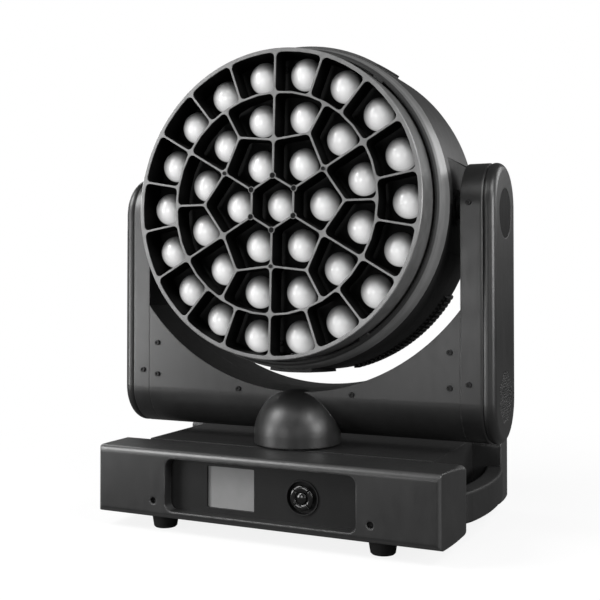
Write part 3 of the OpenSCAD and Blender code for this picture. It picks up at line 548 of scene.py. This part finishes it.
@dataclass(frozen=True)
class LensPlastic(Finish):
    """Clear domed lens with its lit look painted on: a pale painted light core in the middle and below, painted
    shade at its upper shoulder and rim, and a painted glow.

    Places are read from the UV map, from -1 to 1 across the lens. Each edge holds where a change starts
    and where it ends.
    """

    core_drop: float = 0.18
    core_narrow: float = 1.25
    core_edge: tuple[float, float] = (0.14, 1.15)
    core_fullness: float = 0.7
    shoulder_shade_level: float = 92.0
    shoulder_way: tuple[float, float] = (0.48, 0.82)
    shoulder_edge: tuple[float, float] = (0.18, 0.95)
    shoulder_share: float = 0.8
    rim_shade_level: float = 40.0
    rim_edge: tuple[float, float] = (0.90, 1.0)
    rim_share: float = 0.8
    haze_share: float = 0.14
    painted_glow_share: float = 0.55

    def make(self) -> bpy.types.Material:
        """Build the material.

        Returns:
            The material.
        """
        g = Graph(self.name)
        across, up, _ = g.split(g.uv())
        x, y = across * 2 - 1, up * 2 - 1
        haze = g.noise(6.0, 3.0)
        swirl = g.noise(2.2, 2.0, (1, 1, 0.4))
        below = y + self.core_drop
        # Painted light: a pale core in the middle and below.
        painted_light_core = (1 - (x * x * self.core_narrow + below * below).between(*self.core_edge)) ** self.core_fullness
        # Painted shade on the upper shoulder.
        shoulder = (x * self.shoulder_way[0] + y * self.shoulder_way[1]).between(*self.shoulder_edge)
        dim = shoulder * shoulder * (3 - shoulder * 2) * self.shoulder_share
        # Painted shade darkening toward the rim.
        painted_rim_shade = ((x * x + y * y) ** 0.5).between(*self.rim_edge)
        colour = g.blend(painted_light_core, grey(self.level * 0.60), grey(self.level))
        colour = g.blend(haze.between(0.3, 0.75) * self.haze_share, colour, grey(self.level * 0.6))
        colour = g.blend(dim, colour, grey(self.shoulder_shade_level))
        colour = g.blend(painted_rim_shade * self.rim_share, colour, grey(self.rim_shade_level))
        # Painted glow: emission below the middle, though the lens is not lit.
        painted_glow = (0.35 - y * 0.9).between(0.0, 1.1) * painted_light_core * (1 - dim) * self.painted_glow_share
        return g.surface({
            "Base Color": colour,
            "Roughness": (haze - 0.5) * 0.10 + 0.24,
            "Specular IOR Level": 0.4,
            "Coat Weight": 0.5,
            "Coat Roughness": 0.05,
            "Emission Color": g.blend(painted_glow, grey(0), WHITE),
            "Emission Strength": 1.0,
            "Normal": g.bump(swirl, 0.06, 0.05),
        })


@dataclass(frozen=True)
class DisplayWindow(Finish):
    """Unlit display behind clear glass, with a fine cell pattern."""

    cell: float = 0.6

    def make(self) -> bpy.types.Material:
        """Build the material.

        Returns:
            The material.
        """
        g = Graph(self.name)
        x, _, z = g.split(g.place())
        wave = 2 * math.pi / (self.cell * MM)
        cells = (x * wave).math("SINE") * (z * wave).math("SINE")
        cloud = g.noise(40.0, 2.0)
        colour = g.blend(cloud.between(0.3, 0.7), grey(self.level * 0.95), grey(self.level * 1.04))
        colour = g.blend(cells.between(0.2, 1.0) * 0.10, colour, grey(self.level * 0.7))
        return g.surface({
            "Base Color": colour,
            "Roughness": cloud * 0.06 + 0.16,
            "Coat Weight": 0.6,
            "Coat Roughness": 0.05,
            "Normal": g.bump(cells, 0.05, 0.02),
        })


@dataclass(frozen=True)
class CircuitBoard(Finish):
    """Solder mask with copper tracks under it."""

    mask: Rgba = (0.012, 0.060, 0.034, 1.0)
    track: Rgba = (0.020, 0.105, 0.060, 1.0)
    grime: Rgba = (0.010, 0.040, 0.025, 1.0)

    def make(self) -> bpy.types.Material:
        """Build the material.

        Returns:
            The material.
        """
        g = Graph(self.name)
        tracks = g.node("ShaderNodeTexVoronoi", {"feature": "F1", "distance": "MANHATTAN"},
                        {"Vector": g.place(), "Scale": 260.0})
        lines = (tracks * 24.0).math("FRACT").between(0.45, 0.55)
        dust = g.noise(20.0)
        colour = g.blend(lines, self.mask, self.track)
        colour = g.blend(dust.between(0.4, 0.8) * 0.4, colour, self.grime)
        return g.surface({
            "Base Color": colour,
            "Roughness": dust * 0.2 + 0.25,
            "Normal": g.bump(lines, 0.3, 0.05),
        })


class Look(Enum):
    """Every finish on the light."""

    SHELL = ShellPlastic("satin_shell", 38, 0.36, specular=0.5, round_over=3.0, rub_and_sheen=0.9)
    ARM = Finish("satin_arm", 28, 0.36, specular=0.6, round_over=2.2, rub_and_sheen=0.9)
    YOKE = YokePlastic("satin_yoke", 30, 0.36, specular=0.62, round_over=1.8, rub_and_sheen=0.6)
    HOUSING = Finish("housing_plastic", 42, 0.44, specular=0.45)
    # A darker copy of the housing plastic on the lower cover: painted shade under the head.
    HOUSING_SHADED_BELOW = Finish("housing_plastic_painted_shade", 26, 0.5, specular=0.25)
    RING = RingPlastic("front_ring", 98, 0.34, specular=0.7, rub_and_sheen=0.5, round_over=1.6)
    # The grid is black; its level is the painted highlight on its front edge.
    GRID = GridPlastic("grid_plastic", 110, 0.30, specular=0.65, round_over=0.7, grain=0.6)
    # Near black: the lens carrier's own black, also the painted hole shade in the eyelets.
    CARRIER_BLACK_AND_HOLE_SHADE = Finish("carrier_black", 4, 0.6, specular=0.1, rub_and_sheen=0.1, relief=0.03)
    POWDER = Finish("powder_coat", 30, 0.55, grain=0.7, relief=0.10, specular=0.3)
    PANEL = Finish("panel_matte", 25, 0.5, grain=0.4, specular=0.25)
    KEY = Finish("key_satin", 20, 0.24, grain=0.4, specular=0.6, coat=0.5)
    DOME = Finish("key_polished", 12, 0.20, specular=0.5, relief=0.01, coat=0.35)
    BADGE = Finish("badge_satin", 4, 0.5, specular=0.1, relief=0.02, coat=0.05, rub_and_sheen=0.1)
    RUBBER = Finish("foot_rubber", 26, 0.8, specular=0.25, grain=1.4, relief=0.15, rub_and_sheen=0.1)
    SCREW = Finish("blackened_steel", 22, 0.35, metal=0.6, specular=0.5, relief=0.02, grain=0.4)
    BELT = Finish("belt_rubber", 28, 0.7, specular=0.3, grain=0.8, relief=0.1)
    ALLOY = TurnedMetal("bare_alloy", 196, 0.34, (1.0, 1.0, 1.01))
    STEEL = TurnedMetal("ground_steel", 180, 0.26, (1.0, 1.0, 1.02), lines=(1.0, 1.0, 0.03))
    LENS = LensPlastic("lens_plastic", 232)
    DISPLAY = DisplayWindow("display_window", 142)
    BOARD = CircuitBoard("circuit_board", 60)


SLOT_LOOK: dict[str, Look] = {
    "satin_black": Look.SHELL, "soft_black": Look.POWDER, "panel_black": Look.PANEL, "screen": Look.DISPLAY,
    "key_grey": Look.KEY, "key_gloss": Look.DOME, "rubber": Look.RUBBER, "screw_black": Look.SCREW,
    "bare_metal": Look.ALLOY, "steel": Look.STEEL, "board": Look.BOARD, "badge_gloss": Look.BADGE,
    "grid_black": Look.GRID, "ring_grey": Look.RING, "lens_clear": Look.LENS, "belt": Look.BELT,
}
NODE_LOOK: dict[str, Look] = {
    "left_arm_shell": Look.ARM, "right_arm_shell": Look.ARM,
    "left_arm_cap": Look.ARM, "right_arm_cap": Look.ARM,
    # The tilt bearings take the blackened steel finish as painted shade in the gap between head and arms.
    "yoke_front_cover": Look.YOKE, "yoke_rear_cover": Look.ARM, "tilt_bearings": Look.SCREW,
    "left_side_plate": Look.POWDER, "right_side_plate": Look.POWDER, "lens_carrier": Look.CARRIER_BLACK_AND_HOLE_SHADE,
    "head_upper_cover": Look.HOUSING, "head_lower_cover": Look.HOUSING_SHADED_BELOW, "head_rear_cover": Look.HOUSING,
}


class PaintShop:
    """Keeps one material for each finish and puts them on objects."""

    def __init__(self) -> None:
        """Start with no materials made."""
        self.made: dict[Look, bpy.types.Material] = {}

    def material(self, look: Look) -> bpy.types.Material:
        """Make the material of a finish, or find it again.

        Args:
            look: The finish.

        Returns:
            Its one material.
        """
        if look not in self.made:
            self.made[look] = look.value.make()
        return self.made[look]

    def coat(self, thing: bpy.types.Object, look: Look) -> None:
        """Give every material slot of an object one finish.

        Args:
            thing: The object.
            look: The finish.
        """
        made = self.material(look)
        if not thing.material_slots:
            thing.data.materials.append(made)
        for held in thing.material_slots:
            held.material = made

    def coat_frame(self) -> None:
        """Finish every CAD node from its slot in the record."""
        for row in frame["record"]["subparts"]:
            node = row["node"]
            look = NODE_LOOK.get(node, SLOT_LOOK[row["material_slot"]])
            self.coat(frame["nodes"][node], look)
            LOG.info("node %s in %s", node, look.value.name)


# --------------------------------------------------------------------------- modelling by hand


class Bench:
    """Modelling steps shared by the sub-assemblies."""

    @staticmethod
    def clear() -> None:
        """Leave edit mode and deselect everything."""
        if bpy.context.object and bpy.context.object.mode != "OBJECT":
            bpy.ops.object.mode_set(mode="OBJECT")
        bpy.ops.object.select_all(action="DESELECT")

    @staticmethod
    def settle(thing: bpy.types.Object, name: str, place: Matrix | None = None) -> bpy.types.Object:
        """Name a piece and put its place into its mesh.

        Args:
            thing: The piece.
            name: Its new name.
            place: A further move of the mesh, or None.

        Returns:
            The piece, with its object at the origin.
        """
        thing.data.transform((place or Matrix()) @ thing.matrix_world)
        thing.matrix_world = Matrix()
        thing.name = thing.data.name = name
        return thing

    @staticmethod
    def join(things: Sequence[bpy.types.Object]) -> bpy.types.Object:
        """Make one object of several.

        Args:
            things: The objects; the first takes in the others.

        Returns:
            The one object.
        """
        Bench.clear()
        for thing in things:
            thing.select_set(True)
        bpy.context.view_layer.objects.active = things[0]
        bpy.ops.object.join()
        return things[0]

    @staticmethod
    def copies(master: bpy.types.Object, places: Iterable[Matrix]) -> bpy.types.Object:
        """Copy a piece to each place, with its own mesh, and join the copies.

        Args:
            master: The piece that repeats, at the origin; it is used up.
            places: Where each copy goes.

        Returns:
            The joined object.
        """
        made = []
        for place in places:
            twin = master.copy()
            twin.data = master.data.copy()
            twin.data.transform(place)
            bpy.context.scene.collection.objects.link(twin)
            made.append(twin)
        bpy.data.objects.remove(master)
        return Bench.join(made)

    @staticmethod
    def outward(thing: bpy.types.Object) -> None:
        """Merge doubles and turn every face outwards.

        Args:
            thing: The piece to mend.
        """
        Bench.clear()
        thing.select_set(True)
        bpy.context.view_layer.objects.active = thing
        bpy.ops.object.mode_set(mode="EDIT")
        bpy.ops.mesh.select_all(action="SELECT")
        bpy.ops.mesh.remove_doubles(threshold=1e-6)
        bpy.ops.mesh.normals_make_consistent(inside=False)
        bpy.ops.object.mode_set(mode="OBJECT")

    @staticmethod
    def pick(thing: bpy.types.Object, test: Callable[[bpy.types.MeshPolygon], bool]) -> None:
        """Select the faces that pass a test, and enter edit mode.

        Args:
            thing: The piece.
            test: Says whether a face is wanted.
        """
        bpy.ops.object.mode_set(mode="EDIT")
        bpy.ops.mesh.select_mode(type="FACE")
        bpy.ops.mesh.select_all(action="DESELECT")
        bpy.ops.object.mode_set(mode="OBJECT")
        for face in thing.data.polygons:
            face.select = test(face)
        bpy.ops.object.mode_set(mode="EDIT")

    @staticmethod
    def cap(radius: float, cut: float, skirt: float, rings: int) -> bpy.types.Object:
        """Cut a cap off a sphere, draw its rim down into a skirt and close it.

        Args:
            radius: The sphere's radius in millimetres.
            cut: Height of the cut over the sphere's middle.
            skirt: Depth of the skirt.
            rings: Rings of the sphere.

        Returns:
            The cap, the sphere's middle at the origin.
        """
        Bench.clear()
        bpy.ops.mesh.primitive_uv_sphere_add(segments=40, ring_count=rings, radius=radius * MM)
        bpy.ops.object.mode_set(mode="EDIT")
        bpy.ops.mesh.select_all(action="SELECT")
        bpy.ops.mesh.bisect(plane_co=(0, 0, cut * MM), plane_no=(0, 0, 1), clear_inner=True, use_fill=False)
        bpy.ops.mesh.extrude_region_move(TRANSFORM_OT_translate={"value": (0, 0, -skirt * MM)})
        bpy.ops.mesh.edge_face_add()
        bpy.ops.object.mode_set(mode="OBJECT")
        return bpy.context.object


@dataclass
class Head:
    """The round head: its lens domes and the rimmed eyelets of its grid, their shallow dishes painted black as the
    shade of a hole; lengths in millimetres.
    """

    shop: PaintShop
    lens_r: float = 20.7
    lens_rise: float = 14.0
    lens_skirt: float = 2.0
    lens_apex: float = 98.0
    rings: tuple[tuple[float, int, float], ...] = ((0, 1, 0), (57.5, 6, 0), (111, 12, 15), (164, 18, 0))
    corner_r: float = 33.2
    eyelet_r: float = 4.0
    eyelet_rim: float = 0.6
    eyelet_dish: float = 0.35
    eyelet_tall: float = 6.0
    eyelet_middle: float = 111.5

    def build(self) -> None:
        """Make the lens domes and the holes at the corners of the middle cell."""
        self.lenses()
        self.eyelets()

    def place(self, radius: float, turn: float, out: float) -> Matrix:
        """Work out a place on the head.

        Args:
            radius: Distance from the head's middle.
            turn: Angle round it in degrees, from the right.
            out: Height in front of the tilt axis.

        Returns:
            The place, with x right, y up and z out of the head's front.
        """
        s, c = math.sin(LEAN), math.cos(LEAN)
        head = Matrix(((1, 0, 0, 0), (0, s, -c, TILT_AXIS[1]), (0, c, s, TILT_AXIS[2]), (0, 0, 0, 1)))
        a = math.radians(turn)
        spot = Vector((radius * math.cos(a), radius * math.sin(a), out)) * MM
        return head @ Matrix.Translation(spot)

    def lenses(self) -> None:
        """Turn one domed lens with its flange and copy it to each cell."""
        ball = (self.lens_r ** 2 + self.lens_rise ** 2) / (2 * self.lens_rise)
        lens = Bench.cap(ball, ball - self.lens_rise, self.lens_skirt, 28)
        lens.data.transform(Matrix.Translation((0, 0, -ball * MM)))
        lens.data.shade_smooth()
        self.flat_map(lens)
        places = [self.place(radius, start + 360 * i / count, self.lens_apex)
                  for radius, count, start in self.rings for i in range(count)]
        domes = Bench.copies(lens, places)
        Bench.settle(domes, "lens_domes")
        self.shop.coat(domes, Look.LENS)
        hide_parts("lens_array")
        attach(domes, "zoom_carriage")
        LOG.info("piece %s", domes.name)

    def flat_map(self, lens: bpy.types.Object) -> None:
        """Lay a lens's UV map flat on its front, the rim at the edges of the map.

        Args:
            lens: The lens, its axis along z.
        """
        reach = 2 * self.lens_r * MM
        for corner in lens.data.loops:
            spot = lens.data.vertices[corner.vertex_index].co
            lens.data.uv_layers[0].data[corner.index].uv = (spot.x / reach + 0.5, spot.y / reach + 0.5)

    def eyelets(self) -> None:
        """Turn one rimmed eyelet, dish its middle, paint the dish black as the shade of a hole and copy it to the
        middle cell's corners.
        """
        Bench.clear()
        bpy.ops.mesh.primitive_cylinder_add(vertices=32, radius=self.eyelet_r * MM,
                                            depth=self.eyelet_tall * MM)
        cup = bpy.context.object
        Bench.pick(cup, lambda face: face.normal.z > 0.9)
        bpy.ops.mesh.inset(thickness=self.eyelet_rim * MM)
        bpy.ops.mesh.extrude_region_move(TRANSFORM_OT_translate={"value": (0, 0, -self.eyelet_dish * MM)})
        bpy.ops.object.mode_set(mode="OBJECT")
        Bench.outward(cup)
        for look in (Look.GRID, Look.CARRIER_BLACK_AND_HOLE_SHADE):
            cup.data.materials.append(self.shop.material(look))
        inside = (self.eyelet_r - self.eyelet_rim / 2) * MM
        below = (self.eyelet_tall / 2 - self.eyelet_dish / 4) * MM
        # Painted shade: the shallow dish takes the near-black finish so that it reads as a hole.
        for face in cup.data.polygons:
            far = math.hypot(face.center.x, face.center.y)
            face.material_index = int(far < inside and face.center.z < below)
        places = [self.place(self.corner_r, 30 + 60 * i, self.eyelet_middle) for i in range(6)]
        eyes = Bench.copies(cup, places)
        Bench.settle(eyes, "cell_eyelets")
        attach(eyes, "head")
        LOG.info("piece %s", eyes.name)


@dataclass
class Base:
    """The base: its keys and its handles; lengths in millimetres."""

    shop: PaintShop
    keys: tuple[tuple[str, float], ...] = (("right", 0), ("up", 90), ("left", 180), ("down", 270))
    arc_r: float = 11.2
    arc_half: float = 3.5
    arc_flat: float = 0.5
    arc_sink: float = 1.4
    arc_gap: float = 0.9
    dome_r: float = 6.6
    dome_flat: float = 0.45
    dome_skirt: float = 3.0
    dome_sink: float = 2.0
    strap_outer: float = 231.5
    strap_middle: float = 51.0
    strap_thick: float = 22.0
    strap_tall: float = 36.0
    strap_bow: float = 12.0
    strap_fullness: float = 0.7
    strap_steps: int = 14
    strap_round: float = 3.0

    def build(self) -> None:
        """Make the keys and the handles."""
        low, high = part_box("key_enter")
        middle = (low + high) / 2
        front = Matrix.Translation((middle.x, low.y, middle.z)) @ Matrix.Rotation(math.pi / 2, 4, "X")
        for name, turn in self.keys:
            self.arc_key(name, front @ Matrix.Rotation(math.radians(turn), 4, "Z"))
        self.dome_key(front)
        for name, side in (("left", -1), ("right", 1)):
            self.handle(name, side)

    def arc_key(self, name: str, place: Matrix) -> None:
        """Cut one quarter of a rounded ring and close its ends.

        Args:
            name: The key's direction.
            place: The keypad's middle, z out of the panel and x toward the key.
        """
        Bench.clear()
        bpy.ops.mesh.primitive_torus_add(major_segments=72, minor_segments=16,
                                         major_radius=self.arc_r * MM, minor_radius=self.arc_half * MM)
        key = bpy.context.object
        key.data.transform(Matrix.Diagonal((1, 1, self.arc_flat, 1)))
        bpy.ops.object.mode_set(mode="EDIT")
        for turn in (-1, 1):
            bpy.ops.mesh.select_all(action="SELECT")
            bpy.ops.mesh.bisect(plane_co=(self.arc_gap * MM, 0, 0), plane_no=(-1, turn, 0),
                                clear_outer=True, use_fill=True)
        bpy.ops.object.mode_set(mode="OBJECT")
        key.data.transform(Matrix.Translation((0, 0, -self.arc_sink * MM)))
        self.set_key(key, place, f"cap_{name}", f"key_{name}", f"{name}_key")

    def dome_key(self, place: Matrix) -> None:
        """Turn the domed middle key.

        Args:
            place: The keypad's middle, z out of the panel.
        """
        key = Bench.cap(self.dome_r, 0, self.dome_skirt, 20)
        flat = Matrix.Diagonal((1, 1, self.dome_flat, 1))
        key.data.transform(Matrix.Translation((0, 0, -self.dome_sink * MM)) @ flat)
        self.set_key(key, place, "cap_enter", "key_enter", "enter_key")

    def set_key(self, key: bpy.types.Object, place: Matrix, name: str, node: str, body: str) -> None:
        """Smooth a key, set it in place and let it stand for its CAD node.

        Args:
            key: The shaped key.
            place: Where it goes.
            name: The piece's name.
            node: The CAD node that it stands for.
            body: The body that it rides on.
        """
        key.data.shade_smooth()
        Bench.settle(key, name, place)
        Bench.outward(key)
        self.shop.coat(key, Look.DOME)
        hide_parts(node)
        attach(key, body)
        LOG.info("piece %s", name)

    def handle(self, name: str, side: int) -> None:
        """Draw a flat strap out along a shallow bow between the two blocks.

        Args:
            name: Left or right.
            side: -1 or 1, the side it is on.
        """
        low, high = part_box(f"{name}_handle")
        start = (side * (self.strap_outer - self.strap_thick / 2) * MM, low.y, self.strap_middle * MM)
        section = Matrix.Diagonal((self.strap_thick * MM, self.strap_tall * MM, 1, 1))
        Bench.clear()
        bpy.ops.mesh.primitive_plane_add(size=1)
        strap = bpy.context.object
        strap.data.transform(Matrix.Translation(start) @ Matrix.Rotation(math.pi / 2, 4, "X") @ section)
        bpy.ops.object.mode_set(mode="EDIT")
        bpy.ops.mesh.select_all(action="SELECT")
        steps = self.strap_steps
        waves = [math.sin(math.pi * i / steps) ** self.strap_fullness for i in range(steps + 1)]
        reach = [self.strap_bow * MM * wave for wave in waves]
        for last, now in zip(reach, reach[1:]):
            step = (side * (now - last), (high.y - low.y) / steps, 0)
            bpy.ops.mesh.extrude_region_move(TRANSFORM_OT_translate={"value": step})
        bpy.ops.object.mode_set(mode="OBJECT")
        Bench.outward(strap)
        soft = strap.modifiers.new("soft", "BEVEL")
        soft.width, soft.segments = self.strap_round * MM, 3
        soft.limit_method, soft.angle_limit = "ANGLE", math.radians(50)
        bpy.ops.object.modifier_apply(modifier=soft.name)
        Bench.settle(strap, f"{name}_strap")
        self.shop.coat(strap, Look.POWDER)
        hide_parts(f"{name}_handle")
        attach(strap, "base")
        LOG.info("piece %s", strap.name)


# --------------------------------------------------------------------------- studio


@dataclass(frozen=True)
class Lamp:
    """One square soft box.

    Attributes:
        name: Its name.
        spot: Where it hangs, in metres.
        size: Its side in metres.
        watts: Its power.
    """

    name: str
    spot: Spot
    size: float
    watts: float


@dataclass
class Studio:
    """Camera, lamps, world and floor.

    Lengths are metres, angles are degrees, and the camera's lens and sensor are millimetres.
    """

    spot: Spot = (0.5297, -1.1711, 0.3142)
    turn: float = 24.97
    rise: float = 1.02
    lens: float = 58.69
    sensor: float = 36.0
    clip: tuple[float, float] = (0.05, 50.0)
    drop: float = -0.0694
    sky: float = 0.05
    gloss: float = 0.05
    floor_r: float = 6.0
    fade: tuple[float, float] = (0.35, 0.9)
    shadow: float = 0.14
    floor_seen: float = 0.9
    floor_hidden: float = 0.08
    aim: float = 0.30
    boxes: tuple[Lamp, ...] = (
        Lamp("key_high", (-1.1, -0.9, 1.5), 0.8, 26),
        Lamp("key_mid", (-1.2, -1.1, 0.85), 0.8, 8),
        Lamp("key_low", (-1.15, -0.95, 0.16), 0.45, 8),
        Lamp("front", (-0.34, -1.65, 0.27), 0.45, 4),
        Lamp("over_front", (0.15, -0.95, 1.35), 0.5, 2),
        Lamp("right_high", (1.2, -0.6, 1.3), 0.6, 11),
        Lamp("right_side", (1.5, -0.35, 0.5), 0.5, 12),
        Lamp("right_low", (0.85, -1.5, 0.35), 0.5, 2),
        Lamp("back_left", (-1.6, 0.8, 0.9), 0.9, 12),
        Lamp("back_right", (1.3, 1.3, 1.0), 0.9, 10))

    def build(self) -> None:
        """Set up the whole studio."""
        self.camera()
        self.world()
        self.floor()
        self.lamps()

    def camera(self) -> None:
        """Place the camera."""
        data = bpy.data.cameras.new("camera")
        data.lens, data.sensor_width, data.shift_y = self.lens, self.sensor, self.drop
        data.clip_start, data.clip_end = self.clip
        cam = bpy.data.objects.new("camera", data)
        cam.location = self.spot
        cam.rotation_euler = (math.radians(90 + self.rise), 0, math.radians(self.turn))
        bpy.context.scene.collection.objects.link(cam)
        bpy.context.scene.camera = cam
        bpy.context.scene.view_settings.view_transform = "Standard"

    def world(self) -> None:
        """White behind the light, a dimmer sky on it."""
        g = Graph("studio", bpy.data.worlds.new("studio"))
        seen, glossy, through = self.rays(g)
        share = (seen + through + glossy * self.gloss).math("ADD", 0.0, clamp=True)
        power = share * (1 - self.sky) + self.sky
        back = g.node("ShaderNodeBackground", None, {"Color": WHITE, "Strength": power})
        bpy.context.scene.world = g.close(back, "ShaderNodeOutputWorld")

    @staticmethod
    def rays(g: Graph) -> tuple[Signal, Signal, Signal]:
        """Ask where a ray comes from.

        Args:
            g: The graph.

        Returns:
            1 for a ray from the camera, from a reflection and through glass, and otherwise 0.
        """
        kinds = ("Camera", "Glossy", "Transmission")
        return tuple(g.node("ShaderNodeLightPath", output=f"Is {kind} Ray") for kind in kinds)

    def floor(self) -> None:
        """Lay a pale floor that keeps a soft shadow near the light and fades to white."""
        low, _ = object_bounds()
        Bench.clear()
        bpy.ops.mesh.primitive_circle_add(vertices=96, radius=self.floor_r, fill_type="NGON",
                                          location=(0, 0, low.z))
        floor = bpy.context.object
        Bench.settle(floor, "studio_floor")
        g = Graph("studio_floor")
        seen, glossy, through = self.rays(g)
        x, y, _ = g.split(g.place())
        far = ((x * x + y * y) ** 0.5).between(*self.fade)
        dim, pale = ((level, level, level, 1) for level in (self.floor_hidden, self.floor_seen))
        lit = g.node("ShaderNodeBsdfDiffuse", None, {"Color": g.blend(seen, dim, pale)})
        glow = g.node("ShaderNodeEmission", None, {"Color": WHITE, "Strength": 1.0})
        share = (seen + through) * (far * self.shadow + (1 - self.shadow)) + glossy * self.gloss
        floor.data.materials.append(g.close(g.node("ShaderNodeMixShader", None, {0: share, 1: lit, 2: glow})))
        floor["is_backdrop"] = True

    def lamps(self) -> None:
        """Hang the soft boxes round the light, each aimed at its middle."""
        for box in self.boxes:
            data = bpy.data.lights.new(box.name, "AREA")
            data.shape, data.size, data.energy = "SQUARE", box.size, box.watts
            lamp = bpy.data.objects.new(box.name, data)
            lamp.location = box.spot
            aim = Vector((0, 0, self.aim)) - Vector(box.spot)
            lamp.rotation_euler = aim.to_track_quat("-Z", "Y").to_euler()
            bpy.context.scene.collection.objects.link(lamp)


def main() -> None:
    """Build the pieces in order."""
    shop = PaintShop()
    shop.coat_frame()
    Head(shop).build()
    Base(shop).build()
    Studio().build()
    bpy.context.view_layer.update()


if __name__ == "__main__":
    main()
